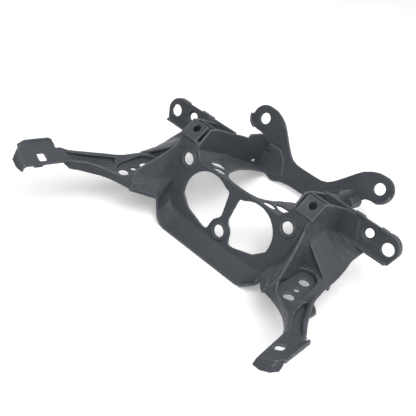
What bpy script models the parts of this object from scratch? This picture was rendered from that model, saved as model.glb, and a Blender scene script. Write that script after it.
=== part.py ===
"""Motorcycle fairing stay: one moulded bracket that carries the instruments, the mirrors and the cowl.

The right half is modelled in the stay's own frame (x to the right, y to the rear, z up the
instrument plate, origin at the centre instrument hole), joined, cut and mirrored about x = 0.
The finished stay is then turned about x so that it lies on the lower edge of its skirt and on
the rear bracket, as it does on a flat surface.
"""
import math

import bmesh
import bpy
from mathutils import Matrix, Vector

MM = 0.001

# Driving dimensions, all in millimetres
WALL = 2.5                   # general wall of the moulding
CHAMFER = 0.4                # broken edge of every plate
OVERLAP = 0.6                # how far one wall runs into the next

PLATE_SIDE_TOP = (84.0, 64.0)      # outer upper corner of the instrument plate
PLATE_SIDE_MID = (80.0, 46.0)
PLATE_SIDE_LOW = (74.5, 8.0)
PLATE_LOW_Z = -9.0                 # where the plate turns into the skirt
PLATE_TOP_Z = 49.9                 # top of the plate over the divider
OPENING_RADIUS = 27.2              # instrument openings
OPENING_CENTRE = (28.6, 19.8)
OPENING_FLOOR = ((55.0, 11.5), (43.0, 0.4), (20.5, -6.4))
DIVIDER_HALF_LOW = 4.6
DIVIDER_HALF_TOP = 6.4
RING_RADIUS = 13.2                 # web round the centre hole
GAUGE_SPACING = 128.8              # outer instrument holes, centre to centre
GAUGE_HEIGHT = 45.0
GAUGE_HOLE = 12.6                  # rubber grommet holes
GAUGE_BOSS = 19.0
GAUGE_BOSS_RISE = 1.2

SKIRT_EDGE = (-20.0, -24.0)        # y and z of the skirt's lower edge
SKIRT_HALF_WIDTH = 50.0

ROOF_Z = 49.2                      # top of the web behind the upper bar
ROOF_EDGE = ((-1.0, 5.8), (11.0, 6.8), (19.0, 9.8), (24.0, 16.0), (28.0, 25.0), (31.0, 38.0))
ROOF_TAIL = ((30.6, 35.0, 48.9), (33.0, 50.0, 48.0), (34.5, 60.0, 46.5), (38.5, 80.0, 42.5),
             (42.0, 100.0, 38.0), (45.0, 120.0, 33.0), (46.0, 132.0, 30.2))
SLOTS = (((25.2, 8.8), (29.0, 6.6), (38.6, 7.2), (40.2, 10.2), (37.4, 15.8), (31.0, 17.4), (27.2, 15.2)),
         ((34.2, 20.4), (42.6, 14.4), (49.6, 15.2), (50.4, 19.0), (46.8, 28.6), (38.2, 27.4), (34.6, 24.0)))

SIDE_WALL_X = 59.0                 # inner side walls that run back to the rear bracket
PAD_SIZE = 20.6                    # square screw tabs for the cowl
PAD_CENTRE = (74.1, 4.4, 72.8)
PAD_TILT = 48.0
PAD_THICKNESS = 3.2
PAD_HOLE = 8.6
PAD_HOLE_SHIFT = 2.8               # the hole sits above the middle of the tab
PAD_BORDER = 1.7
CLIP_GAP = 9.4                     # space behind each tab for its spring nut
TOWER_OUTER_X = 84.5
TOWER_TOP_Z = 79.6

FLANGE_Y = 56.5                    # mirror flanges
FLANGE_TOP_Z = 75.2
FLANGE_LOW_Z = 46.0
FLANGE_THICKNESS = 3.0
MIRROR_SPACING = 280.0
MIRROR_HEIGHT = 60.0
MIRROR_HOLE = 13.0
MIRROR_LOBE = 13.6
MIRROR_LOBE_CENTRE = (137.8, 61.0)
PIN_POSITION = (116.8, 63.6)
PIN_HOLE = 9.0
LIP_DEPTH = 5.0
LIP_HEIGHT = 2.5

EAR_Y = 137.9                      # rear bracket, at the height of its holes
EAR_HEIGHT = 81.0
EAR_ROOT_Z = 50.0                  # where the lobes' necks leave the side walls
EAR_SPACING = 158.0
EAR_HOLE = 13.0
EAR_LOBE = 15.5
EAR_LEAN = 7.9                     # degrees, top to the rear
EAR_THICKNESS = 3.4
EAR_RIB_DEPTH = 7.0                # rib on the lobe's outer edge, forward of its face

ARM_HOLES = ((109.0, -34.0, 10.0), (108.1, -21.9, 5.4), (106.3, -8.6, 10.0))
RECESS_CENTRE = (105.7, -19.2)
RECESS_LENGTH = 46.2
RECESS_WIDTH = 25.4
RECESS_TURN = 95.7
RECESS_DEPTH = 4.8                 # at its rear end
RECESS_FRONT_DEPTH = 2.2
RECESS_RIM = 0.5                   # raised rim round the recess
SEAT_POINT = (109.0, -34.0, 6.9)   # a point on the recess floor
SEAT_NORMAL = (-0.05, -0.29, 0.955)

HOOK_HOLE = (149.3, -108.3, 9.0)   # x, y and size of the square hole


def arc(centre, radius, start, end, steps):
    """Points on an arc, angles in degrees, both ends included."""
    points = []
    for i in range(steps + 1):
        angle = math.radians(start + (end - start) * i / steps)
        points.append((centre[0] + radius * math.cos(angle), centre[1] + radius * math.sin(angle)))
    return points


def rounded(corners, steps=4):
    """Outline from corners (u, v, radius), each turned with an arc of its radius."""
    points = []
    count = len(corners)
    for i, (u, v, radius) in enumerate(corners):
        here = Vector((u, v))
        before = Vector(corners[i - 1][:2]) - here
        after = Vector(corners[(i + 1) % count][:2]) - here
        if radius <= 0:
            points.append((u, v))
            continue
        half = before.angle(after) / 2
        reach = min(radius / math.tan(half), 0.49 * before.length, 0.49 * after.length)
        start = here + before.normalized() * reach
        end = here + after.normalized() * reach
        for k in range(steps + 1):
            t = k / steps
            point = start * (1 - t) ** 2 + here * (2 * t * (1 - t)) + end * t ** 2
            points.append((point.x, point.y))
    return points


def frame(origin, u_axis, v_axis):
    """Matrix from outline coordinates (u, v, w) to the stay's frame, in millimetres."""
    u = Vector(u_axis).normalized()
    v = Vector(v_axis)
    v = (v - u * v.dot(u)).normalized()
    w = u.cross(v)
    matrix = Matrix((u, v, w)).transposed().to_4x4()
    matrix.translation = Vector(origin)
    return matrix


def keep_mesh(obj, name, collection, matrix):
    """Turn an evaluated object into a closed mesh object in metres, and drop the original."""
    depsgraph = bpy.context.evaluated_depsgraph_get()
    mesh = bpy.data.meshes.new_from_object(obj.evaluated_get(depsgraph))
    mesh.name = name
    mesh.transform(Matrix.Scale(MM, 4) @ matrix)
    bpy.data.objects.remove(obj)
    result = bpy.data.objects.new(name, mesh)
    collection.objects.link(result)
    weld(mesh)
    result.hide_render = True
    result.display_type = "WIRE"
    return result


def weld(mesh, distance=1e-6):
    """Merge doubled points and turn all faces outwards."""
    shape = bmesh.new()
    shape.from_mesh(mesh)
    bmesh.ops.remove_doubles(shape, verts=shape.verts, dist=distance)
    bmesh.ops.recalc_face_normals(shape, faces=shape.faces)
    shape.to_mesh(mesh)
    shape.free()


def plate(name, collection, outline, thickness, matrix, holes=(), chamfer=CHAMFER):
    """Flat wall: an outline filled on both sides and extruded, its front face at w = 0."""
    curve = bpy.data.curves.new(name, "CURVE")
    curve.dimensions = "2D"
    curve.fill_mode = "BOTH"
    curve.bevel_depth = chamfer
    curve.bevel_resolution = 0
    curve.offset = -chamfer
    curve.extrude = thickness / 2 - chamfer
    for loop in (outline, *holes):
        spline = curve.splines.new("POLY")
        spline.points.add(len(loop) - 1)
        for point, (u, v) in zip(spline.points, loop):
            point.co = (u, v, 0, 1)
        spline.use_cyclic_u = True
    obj = bpy.data.objects.new(name, curve)
    bpy.context.scene.collection.objects.link(obj)
    return keep_mesh(obj, name, collection, matrix @ Matrix.Translation((0, 0, -thickness / 2)))


def shell(name, collection, rows, behind, thickness=WALL, even=True):
    """Curved wall: a grid of points on its seen side, given thickness towards 'behind'."""
    width = len(rows[0])
    points = [point for row in rows for point in row]
    faces = []
    for r in range(len(rows) - 1):
        for c in range(width - 1):
            a = r * width + c
            faces.append((a, a + 1, a + width + 1, a + width))
    mesh = bpy.data.meshes.new(name)
    mesh.from_pydata(points, [], faces)
    normal = Vector((0, 0, 0))
    for face in mesh.polygons:
        normal += face.normal * face.area
    obj = bpy.data.objects.new(name, mesh)
    bpy.context.scene.collection.objects.link(obj)
    solid = obj.modifiers.new("Wall", "SOLIDIFY")
    solid.thickness = thickness
    solid.offset = 1.0 if normal.dot(Vector(behind)) > 0 else -1.0
    solid.use_even_offset = even
    solid.use_quality_normals = True
    return keep_mesh(obj, name, collection, Matrix.Identity(4))


def loft(name, collection, sections):
    """Solid through closed sections with the same number of points."""
    count = len(sections[0])
    points = [point for section in sections for point in section]
    faces = [tuple(range(count)), tuple(range(len(points) - count, len(points)))]
    for s in range(len(sections) - 1):
        for i in range(count):
            a = s * count + i
            b = s * count + (i + 1) % count
            faces.append((a, b, b + count, a + count))
    mesh = bpy.data.meshes.new(name)
    mesh.from_pydata(points, [], faces)
    obj = bpy.data.objects.new(name, mesh)
    bpy.context.scene.collection.objects.link(obj)
    return keep_mesh(obj, name, collection, Matrix.Identity(4))


def drum(name, collection, centre, axis, radius, length, segments=24):
    """Cylinder centred on a point, along an axis."""
    mesh = bpy.data.meshes.new(name)
    shape = bmesh.new()
    turn = Vector(axis).to_track_quat("Z", "Y").to_matrix().to_4x4()
    turn.translation = Vector(centre)
    bmesh.ops.create_cone(
        shape, cap_ends=True, segments=segments, radius1=radius, radius2=radius, depth=length,
        matrix=Matrix.Scale(MM, 4) @ turn,
    )
    shape.to_mesh(mesh)
    shape.free()
    obj = bpy.data.objects.new(name, mesh)
    collection.objects.link(obj)
    obj.hide_render = True
    obj.display_type = "WIRE"
    return obj


def instrument_outline():
    """Instrument opening: a round top, a straight divider side and a slanted foot."""
    side = math.degrees(math.acos((DIVIDER_HALF_TOP - OPENING_CENTRE[0]) / (OPENING_RADIUS + 2)))
    top = arc(OPENING_CENTRE, OPENING_RADIUS, side - 14, -16, 12)
    ring = arc((0, 0), RING_RADIUS, -14, 62, 5)
    outline = [(DIVIDER_HALF_TOP, 38.0), (DIVIDER_HALF_TOP + 1.2, 40.6)]
    outline += top
    outline += OPENING_FLOOR
    outline += [(16.4, -6.6), (14.4, -4.8)]
    outline += ring[1:]
    outline += [(DIVIDER_HALF_LOW, 16.0)]
    return outline


def instrument_plate(pieces, cuts):
    """Front plate with its openings, upper bar and grommet holes."""
    upright = frame((0, 0, 0), (1, 0, 0), (0, 0, 1))
    outline = [
        (-1, PLATE_LOW_Z), (62, PLATE_LOW_Z), (70, PLATE_LOW_Z + 3), PLATE_SIDE_LOW, PLATE_SIDE_MID,
        PLATE_SIDE_TOP, (62.5, 64.5), (60.5, 59.5), (56.5, 57.2), (53.5, 54.2), (51.5, PLATE_TOP_Z + 0.4),
        (47, PLATE_TOP_Z), (-1, PLATE_TOP_Z),
    ]
    plate("face_plate", pieces, outline, WALL, upright, holes=(instrument_outline(),))
    gauge_x = GAUGE_SPACING / 2
    for name, x, z in (("centre", 0.0, 0.0), ("side", gauge_x, GAUGE_HEIGHT)):
        middle = (x, (WALL - GAUGE_BOSS_RISE) / 2, z)
        drum("boss_" + name, pieces, middle, (0, 1, 0), GAUGE_BOSS / 2, WALL + GAUGE_BOSS_RISE)
        drum("grommet_" + name, cuts, (x, 0, z), (0, 1, 0), GAUGE_HOLE / 2, 20)


def skirt(pieces):
    """Lower part of the plate, which curves forwards to the edge that the stay lies on."""
    low_y, low_z = SKIRT_EDGE
    top_z = PLATE_LOW_Z + 2.0
    profile = ((0.6, top_z), (-0.4, PLATE_LOW_Z - 2.5), (-4.5, PLATE_LOW_Z - 7.5), (-11.5, low_z + 3.2),
               (low_y, low_z))
    turn = (
        ((6.0, 0.6, -6.5), (12.0, 0.6, -5.5), (17.0, 0.6, -3.0), (20.8, 0.8, 1.0), (23.8, 1.6, 5.0)),
        ((6.0, -0.6, -10.5), (12.0, -0.8, -9.0), (16.8, -2.0, -6.5), (20.0, -3.8, -1.0), (22.6, -3.6, 3.0)),
        ((5.6, -4.5, -15.0), (11.8, -4.5, -12.5), (16.4, -6.0, -9.8), (19.2, -8.8, -3.4), (21.2, -9.2, 1.6)),
        ((5.3, -11.5, -19.0), (11.4, -11.5, -15.6), (15.8, -11.0, -12.2), (18.0, -13.8, -5.8), (19.6, -15.2, 0.6)),
        ((5.0, -20.0, -22.2), (10.8, -19.6, -17.4), (14.8, -16.4, -14.0), (16.2, -18.4, -8.0), (18.0, -20.4, 0.0)),
    )
    rows = []
    for (y, z), ends in zip(profile, turn):
        row = [(-1.7, y, z), (SKIRT_HALF_WIDTH * 0.5, y, z), (SKIRT_HALF_WIDTH - 2, y, z)]
        row += [(SKIRT_HALF_WIDTH + x, end_y, end_z) for x, end_y, end_z in ends]
        rows.append(row)
    shell("skirt", pieces, rows, behind=(0, 1, -1))


def roof(pieces, cuts):
    """Web behind the upper bar, which narrows along the side wall to the rear bracket."""
    level = frame((0, 0, ROOF_Z), (1, 0, 0), (0, 1, 0))
    outline = [(-1.4, 0.5), (-1.4, ROOF_EDGE[0][1])] + list(ROOF_EDGE[1:]) + [(SIDE_WALL_X + 1, 44.0), (SIDE_WALL_X + 1, 0.5)]
    plate("roof", pieces, outline, WALL, level, chamfer=0)
    rows = []
    for x, y, z in ROOF_TAIL:
        edge = Vector((x, y, z))
        wall = Vector((SIDE_WALL_X + 1, y, z + 0.6))
        rows.append([edge, edge.lerp(wall, 0.5), wall])
    shell("roof_tail", pieces, rows, behind=(0, 0, -1))
    for i, corners in enumerate(SLOTS):
        outline = rounded([(x, y, 0.8) for x, y in corners], 2)
        plate("slot_%d" % i, cuts, outline, 12.0, frame((0, 0, ROOF_Z + 5), (1, 0, 0), (0, 1, 0)), chamfer=0)


def tower(pieces, cuts):
    """Tower of the cowl screw: the tab, the wall behind its clip gap and the two side walls."""
    tilt = math.radians(PAD_TILT)
    rise = Vector((0, math.cos(tilt), math.sin(tilt)))
    pad = frame(PAD_CENTRE, (1, 0, 0), rise)
    half = PAD_SIZE / 2
    square = [(-half, -half), (half, -half), (half, half), (-half, half)]
    plate("tab", pieces, square, PAD_THICKNESS, pad)
    border = [(u * (half - PAD_BORDER) / half, v * (half - PAD_BORDER) / half) for u, v in square]
    plate("tab_border", cuts, border, 2.0, pad @ Matrix.Translation((0, 0, 1.3)), chamfer=0)
    normal = pad.to_3x3().col[2]
    drum("tab_hole", cuts, pad @ Vector((0, PAD_HOLE_SHIFT, 0)), normal, PAD_HOLE / 2, 12)
    back_y = PAD_CENTRE[1] + half * rise.y + CLIP_GAP
    left = PAD_CENTRE[0] - half
    right = PAD_CENTRE[0] + half
    behind = frame((0, back_y, 0), (1, 0, 0), (0, 0, 1))
    plate("clip_wall", pieces, [(SIDE_WALL_X + 0.5, 58), (TOWER_OUTER_X + 1.5, 58),
                                (TOWER_OUTER_X + 1.5, TOWER_TOP_Z - 0.3), (SIDE_WALL_X + 0.5, TOWER_TOP_Z - 0.3)],
          WALL, behind, chamfer=0)
    foot = PAD_CENTRE[1] - half * rise.y
    foot_z = PAD_CENTRE[2] - half * rise.z
    side = [
        [(83.6, -2.4, 64.0), (86.2, 9.5, 61.2), (88.7, 22.0, 56.6), (88.9, 40.0, 51.6), (88.8, 58.0, 47.4)],
        [(83.8, -2.4, 65.0), (85.0, 10.4, 70.0), (86.0, 24.0, 69.0), (87.3, 41.0, 64.5), (88.3, 58.0, 60.0)],
        [(83.8, -2.0, 65.6), (84.2, 11.4, 80.2), (84.9, 26.0, 78.8), (86.6, 42.0, 75.4), (88.0, 58.0, 71.8)],
    ]
    shell("tower_side", pieces, side, behind=(-1, 0, 0))
    front = frame((0, 0, 0), (1, 0, 0), (0, 0, 1))
    plate("tower_front", pieces, [(left - 1, 52), (right - 1.2, 52), (right - 1.2, foot_z + 0.6),
                                  (left - 1, foot_z + 0.6)],
          WALL, front @ Matrix.Translation((0, 0, 0.6)), chamfer=0)
    facet = [
        [(82.6, -2.2, 65.4), (86.1, 9.0, 62.6), (88.9, 21.6, 58.0)],
        [(81.6, -2.6, 58.0), (86.5, 5.5, 55.0), (91.0, 12.5, 51.0)],
        [(80.5, -2.6, 51.5), (86.8, 0.5, 47.6), (92.4, 3.4, 43.0)],
    ]
    shell("tower_facet", pieces, facet, behind=(-1, 1, 0))


def side_wall(pieces):
    """Inner side wall from the tower back to the rear bracket."""
    outline = [(0.6, 47.2), (0.6, 63.5), (11.0, TOWER_TOP_Z), (24, TOWER_TOP_Z), (51, 74.5), (70, 71.5),
               (88, 68), (90, 72), (112, 72.2), (121, 69.5), (133, 61), (131, 31), (90, 38.5), (38, 47)]
    side = frame((SIDE_WALL_X, 0, 0), (0, 1, 0), (0, 0, 1))
    plate("side_wall", pieces, outline, WALL, side @ Matrix.Translation((0, 0, WALL)), chamfer=0.3)
    root = SIDE_WALL_X + 1.0
    sections = []
    for y, high, inner, low in ((1.2, 60.0, 49.5, 48.2), (30.0, 54.6, 51.0, 48.1), (58.0, 49.4, 54.5, 45.6), (82.0, 43.6, 58.2, 41.0)):
        sections.append([(root, y, high), (inner, y, low + 0.4), (inner + 0.5, y, low - 0.6), (root, y, low - 0.8)])
    loft("wall_fillet", pieces, sections)


def mirror_flange(pieces, cuts):
    """Flange with the mirror's two holes, its front lip and the ribs on its back."""
    upright = frame((0, FLANGE_Y, 0), (1, 0, 0), (0, 0, 1))
    hole_x = MIRROR_SPACING / 2
    lobe = arc(MIRROR_LOBE_CENTRE, MIRROR_LOBE, 96, -30, 10)
    outline = [(SIDE_WALL_X + 0.5, FLANGE_LOW_Z), (SIDE_WALL_X + 0.5, FLANGE_TOP_Z)]
    outline += lobe
    outline += [(146.5, FLANGE_LOW_Z)]
    plate("mirror_flange", pieces, outline, FLANGE_THICKNESS, upright)
    drum("mirror_hole", cuts, (hole_x, FLANGE_Y, MIRROR_HEIGHT), (0, 1, 0), MIRROR_HOLE / 2, 30)
    pin_x, pin_z = PIN_POSITION
    drum("mirror_pin_hole", cuts, (pin_x, FLANGE_Y, pin_z), (0, 1, 0), PIN_HOLE / 2, 30)
    lip = frame((0, 0, FLANGE_LOW_Z + WALL), (1, 0, 0), (0, 1, 0))
    plate("flange_lip", pieces, [(86, FLANGE_Y - LIP_DEPTH), (145, FLANGE_Y - LIP_DEPTH), (146, FLANGE_Y + 1),
                                 (86, FLANGE_Y + 1)], LIP_HEIGHT, lip, chamfer=0)
    pocket = [(86, FLANGE_LOW_Z + 2), (110, FLANGE_LOW_Z + 4), (102, 73.2), (86, 72)]
    plate("flange_step", pieces, pocket, 1.6, upright @ Matrix.Translation((0, 0, 1.0)), chamfer=0)
    rear = FLANGE_Y + FLANGE_THICKNESS
    back_rib(pieces, "rib_tab", [(94.0, 66), (103.0, 66), (103.0, FLANGE_TOP_Z - 0.5), (94.0, FLANGE_TOP_Z - 0.5)], rear)
    rim_out = arc(MIRROR_LOBE_CENTRE, MIRROR_LOBE, 132, -12, 8)
    rim_in = arc(MIRROR_LOBE_CENTRE, MIRROR_LOBE - WALL, -12, 132, 8)
    back_rib(pieces, "rib_lobe", rim_out + rim_in, rear)


def back_rib(pieces, name, outline, rear):
    """Rib on the back of the mirror flange."""
    depth = 5.0
    place = frame((0, rear + depth - OVERLAP, 0), (1, 0, 0), (0, 0, 1))
    plate(name, pieces, outline, depth, place @ Matrix.Translation((0, 0, depth)), chamfer=0)


def rear_bracket(pieces, cuts):
    """Cross plate of the rear bracket with its two lobes."""
    lean = math.radians(EAR_LEAN)
    up = Vector((0, math.sin(lean), math.cos(lean)))
    ear = frame(Vector((0, EAR_Y, EAR_HEIGHT)) - up * EAR_HEIGHT, (1, 0, 0), up)
    hole_x = EAR_SPACING / 2
    rise = EAR_HEIGHT - EAR_ROOT_Z
    outline = [(-1.2, 30.5), (5, 30.5), (15, 30.2), (24, 28.8), (31, 26), (36.5, 24.4), (43.5, 26), (48, 29.5),
               (54, 29.4), (61.4, 29.8), (62.5, EAR_ROOT_Z)]
    lower = ((hole_x - 12.5, 0.29), (hole_x - 8.5, 0.445), (hole_x - 3.0, 0.49))
    outline += [(x, EAR_ROOT_Z + rise * share) for x, share in lower]
    outline += arc((hole_x + 1.0, EAR_HEIGHT - 0.4), EAR_LOBE, -78, 96, 12)
    upper = ((hole_x - 9.5, 1.465), (hole_x - 18.0, 1.36), (54.2, 1.226), (48.0, 1.032), (42.5, 0.826),
             (35.4, 0.571), (29.4, 0.374), (24.0, 0.245), (17.0, 0.174))
    outline += [(x, EAR_ROOT_Z + rise * share) for x, share in upper]
    outline += [(8, 55.0), (-1.2, 55.0)]
    plate("cross_plate", pieces, outline, EAR_THICKNESS, ear)
    centre = ear @ Vector((hole_x, EAR_HEIGHT, 0))
    drum("ear_hole", cuts, centre, ear.to_3x3().col[2], EAR_HOLE / 2, 30)
    rib_out = arc((hole_x + 1.0, EAR_HEIGHT - 0.4), EAR_LOBE - 0.1, -72, -3, 6)
    rib_in = arc((hole_x + 1.0, EAR_HEIGHT - 0.4), EAR_LOBE - WALL, -3, -72, 6)
    plate("ear_rib", pieces, rib_out + rib_in, EAR_RIB_DEPTH + 1.0,
          ear @ Matrix.Translation((0, 0, EAR_RIB_DEPTH)), chamfer=0)
    tab = frame((0, 112, 0), (1, 0, 0), (0, 0, 1))
    nub = [(60.5, 50), (70, 54), (70.5, 60), (66, 64), (60.5, 64)]
    plate("wall_stop", pieces, nub, 22.0, tab, chamfer=0)


def cheek(pieces):
    """Curved cheek that joins the mirror flange, the tower and the arm's outer edge."""
    rows = [
        [(87.0, 58.5, 48.0), (104.0, 58.5, 47.6), (121.6, 58.5, 47.2)],
        [(87.0, 48.0, 50.4), (104.5, 48.0, 46.4), (121.0, 48.0, 42.2)],
        [(87.4, 38.0, 53.2), (105.0, 38.0, 45.6), (120.9, 39.0, 37.8)],
        [(88.4, 26.0, 56.4), (106.2, 28.0, 43.6), (122.4, 31.0, 30.8)],
        [(89.8, 18.0, 55.6), (107.8, 18.5, 39.8), (123.6, 21.0, 25.0)],
        [(91.0, 10.0, 50.0), (109.6, 9.8, 34.2), (124.6, 10.0, 21.6)],
        [(92.4, 1.4, 43.2), (111.2, 1.8, 28.4), (125.2, 1.4, 19.4)],
    ]
    shell("cheek", pieces, rows, behind=(0, 0, -1))


def pocket(pieces):
    """Wall that closes the pocket between the gusset and the cheek, in line with the plate."""
    rows = [
        [(77.6, 1.5, 52.4), (84.0, 1.6, 49.4), (92.8, 2.8, 42.4), (103.0, 4.4, 34.6), (111.2, 4.8, 28.0),
         (118.5, 4.0, 23.0), (125.0, 2.6, 18.6)],
        [(73.2, 1.5, 10.0), (80.0, 1.8, 14.0), (91.0, 3.6, 15.6), (103.0, 4.9, 16.4), (111.0, 5.2, 16.6),
         (118.5, 5.0, 15.6), (124.6, 4.4, 13.8)],
    ]
    shell("pocket_wall", pieces, rows, behind=(0, 1, 0))


def gusset(pieces):
    """Inner wall of the arm's root, from the plate's side edge out to the ridge."""
    rows = [
        [(78.4, 2.0, 53.0), (80.0, -0.5, 53.2), (81.4, -2.8, 53.4)],
        [(77.2, 2.0, 40.0), (80.5, -4.0, 42.0), (84.2, -9.5, 43.6)],
        [(75.6, 2.0, 28.0), (80.5, -8.0, 32.0), (87.2, -17.5, 35.0)],
        [(74.1, 2.0, 16.0), (80.5, -13.0, 21.5), (90.6, -27.0, 26.4)],
        [(72.6, 1.0, 4.0), (79.0, -19.0, 11.5), (93.6, -36.0, 17.4)],
        [(70.5, -5.0, 0.5), (77.6, -26.0, 5.0), (91.2, -40.6, 8.0)],
        [(67.0, -20.6, -1.0), (77.3, -32.0, -1.3), (86.9, -43.5, -1.4)],
    ]
    shell("gusset", pieces, rows, behind=(1, 1, 0))


def seat_height(x, y):
    """Height of the recess floor's plane at a point."""
    return plane_height(SEAT_POINT, SEAT_NORMAL, x, y)


def plane_height(point, normal, x, y):
    """Height at x and y of the plane through a point with a normal."""
    return point[2] - (normal[0] * (x - point[0]) + normal[1] * (y - point[1])) / normal[2]


def seat_frames():
    """Matrices of the recess floor and of the deck above it, which falls to meet the floor at the front."""
    normal = Vector(SEAT_NORMAL).normalized()
    origin = Vector((RECESS_CENTRE[0], RECESS_CENTRE[1], seat_height(*RECESS_CENTRE)))
    across = Vector((1, 0, 0)) - normal * normal.x
    seat = frame(origin, across, normal.cross(across)) @ Matrix.Rotation(math.radians(RECESS_TURN), 4, "Z")
    along = seat.to_3x3().col[0]
    side = seat.to_3x3().col[1]
    rise = (RECESS_DEPTH - RECESS_FRONT_DEPTH) / RECESS_LENGTH
    middle = origin + normal * (RECESS_DEPTH + RECESS_FRONT_DEPTH) / 2
    return seat, frame(middle, along + normal * rise, side)


def seat_recess(pieces, cuts):
    """Oval recess with its rim and holes, and the deck round it."""
    seat, top = seat_frames()
    normal = seat.to_3x3().col[2]
    half_l = RECESS_LENGTH / 2
    half_w = RECESS_WIDTH / 2
    oval = arc((half_l - half_w, 0), half_w, -90, 90, 9) + arc((half_w - half_l, 0), half_w, 90, 270, 9)
    outer = [(u * (1 + WALL / half_l), v * (1 + WALL / half_w)) for u, v in oval]
    floor_rise = RECESS_FRONT_DEPTH - 0.3
    plate("recess_floor", pieces, outer, floor_rise + WALL, seat @ Matrix.Translation((0, 0, floor_rise)), chamfer=0)
    plate("recess_rim", pieces, outer, RECESS_DEPTH - floor_rise + 1.0 + RECESS_RIM,
          top @ Matrix.Translation((0, 0, RECESS_RIM)))
    plate("recess", cuts, oval, RECESS_DEPTH + 1.7, seat @ Matrix.Translation((0, 0, RECESS_DEPTH + 1.7)), chamfer=0)
    for i, (x, y, size) in enumerate(ARM_HOLES):
        drum("arm_hole_%d" % i, cuts, (x, y, seat_height(x, y)), normal, size / 2, 14, 24)
    level = top.to_3x3().col[2]
    inverse = top.inverted()
    deck_points = [(75.8, 4.6), (76.0, 2.0), (78.6, -5.0), (84.6, -23.4), (93.4, -39.2), (99.8, -43.2), (108.0, -45.2),
                   (116.0, -41.0), (124.6, -33.4), (124.6, -30.6), (120.5, -16.0), (119.0, 4.6)]
    deck = []
    for x, y in deck_points:
        local = inverse @ Vector((x, y, plane_height(top.translation, level, x, y)))
        deck.append((local.x, local.y))
    plate("deck", pieces, deck, WALL, top, chamfer=0)
    fall = []
    for x, y, out_x, out_z in ((117.6, 3.8, 124.4, 19.0), (117.6, -8.0, 126.0, 17.4), (119.0, -20.0, 127.8, 15.5),
                               (121.4, -32.6, 131.6, 14.3)):
        z = plane_height(top.translation, level, x, y)
        fall.append([(x, y, z - 0.2), ((x + out_x) / 2, y, (z + out_z) / 2 + 0.3), (out_x, y, out_z)])
    shell("deck_edge", pieces, fall, behind=(0, 0, -1))


def arm(pieces, cuts):
    """Arm: a tray with a stepped floor that runs from the recessed seat to the hook."""
    seat_recess(pieces, cuts)
    stations = (
        ((93.9, -36.6, 14.8), (88.2, -41.6, -1.0), (119.0, -17.0, 1.6), (127.3, -18.6, 15.6)),
        ((99.4, -43.3, 7.6), (98.5, -42.9, -2.0), (125.5, -26.0, 1.2), (129.8, -28.2, 14.8)),
        ((112.0, -53.4, 8.2), (110.7, -49.5, -1.6), (135.0, -44.0, 0.2), (136.8, -43.8, 13.9)),
        ((119.6, -60.4, 8.8), (118.8, -54.4, -2.2), (139.4, -53.0, -0.6), (141.0, -53.0, 12.9)),
        ((126.6, -67.2, 9.0), (125.4, -60.7, -2.9), (143.2, -61.6, -1.0), (145.4, -62.0, 12.0)),
        ((132.0, -75.2, 8.2), (132.2, -70.2, -2.8), (150.0, -73.4, -1.4), (152.4, -73.4, 10.2)),
        ((138.5, -82.6, 6.4), (136.0, -78.6, -2.6), (154.4, -82.6, -0.8), (156.6, -83.0, 11.4)),
    )
    inner = [[Vector(top), Vector(top).lerp(Vector(low), 0.5), Vector(low)] for top, low, _, _ in stations]
    outer = [[Vector(low), Vector(top)] for _, _, low, top in stations]
    shell("arm_inner_wall", pieces, inner, behind=(1, 1, 0), even=False)
    shell("arm_outer_wall", pieces, outer, behind=(-1, 0, 0), even=False)
    high = [
        [(100.6, -42.3, 6.8), (112.0, -38.0, 7.8), (123.4, -32.6, 10.0)],
        [(113.0, -52.6, 7.6), (118.6, -49.2, 7.4), (125.4, -45.0, 7.7)],
        [(120.6, -59.8, 8.2), (125.0, -58.8, 7.7), (129.6, -57.5, 7.4)],
        [(127.6, -66.6, 8.4), (131.0, -66.7, 7.7), (134.7, -66.7, 7.3)],
        [(133.2, -74.6, 7.6), (136.4, -74.8, 7.2), (140.0, -75.2, 7.0)],
        [(139.0, -82.0, 5.9), (141.6, -82.1, 6.2), (144.4, -82.2, 6.5)],
    ]
    shell("arm_floor_high", pieces, high, behind=(0, 0, -1), thickness=3.6, even=False)
    low = [
        [(121.0, -30.6, 7.2), (125.5, -29.4, 7.8), (130.0, -28.2, 9.0)],
        [(123.6, -44.4, 4.8), (130.0, -44.0, 5.8), (136.0, -43.6, 7.5)],
        [(128.0, -57.4, 5.0), (135.0, -56.0, 5.8), (141.2, -55.0, 7.0)],
        [(133.0, -66.6, 5.5), (140.0, -65.6, 6.0), (146.0, -64.6, 6.7)],
        [(138.4, -75.0, 5.8), (145.0, -74.8, 6.3), (151.4, -74.4, 6.9)],
        [(143.0, -82.2, 5.8), (149.0, -82.6, 6.9), (155.2, -82.8, 8.4)],
    ]
    shell("arm_floor_low", pieces, low, behind=(0, 0, -1), thickness=2.2, even=False)
    ledge = [
        [(129.6, -28.4, 14.7), (125.8, -29.6, 14.0)],
        [(136.6, -43.8, 13.8), (131.9, -43.4, 13.1)],
        [(140.8, -53.0, 12.8), (136.4, -53.4, 12.3)],
        [(145.2, -62.0, 11.9), (141.2, -63.0, 11.6)],
        [(152.2, -73.4, 10.3), (148.6, -74.6, 10.0)],
        [(156.3, -82.6, 11.0), (152.8, -83.0, 10.2)],
    ]
    shell("arm_ledge", pieces, ledge, behind=(0, 0, -1), thickness=2.0, even=False)
    drum("arm_nub", pieces, (123.6, -32.6, 9.4), (0, 0, 1), 1.7, 4.4, 10)
    end = frame((138.4, -80.4, 4.0), (18.0, -0.6, 0.0), (0.0, 0.0, 1.0))
    plate("arm_end", pieces, [(-2.0, -6.6), (16.8, -4.8), (17.6, 7.0), (0.0, 2.6)], WALL, end, chamfer=0)
    flap = [(126.6, -20.0), (134.4, -28.0), (138.2, -34.0), (138.6, -45.0), (132.0, -40.0)]
    plate("arm_flap", pieces, flap, 3.0, frame((0, 0, 10.0), (1, 0, 0), (0, 1, 0)))


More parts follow.
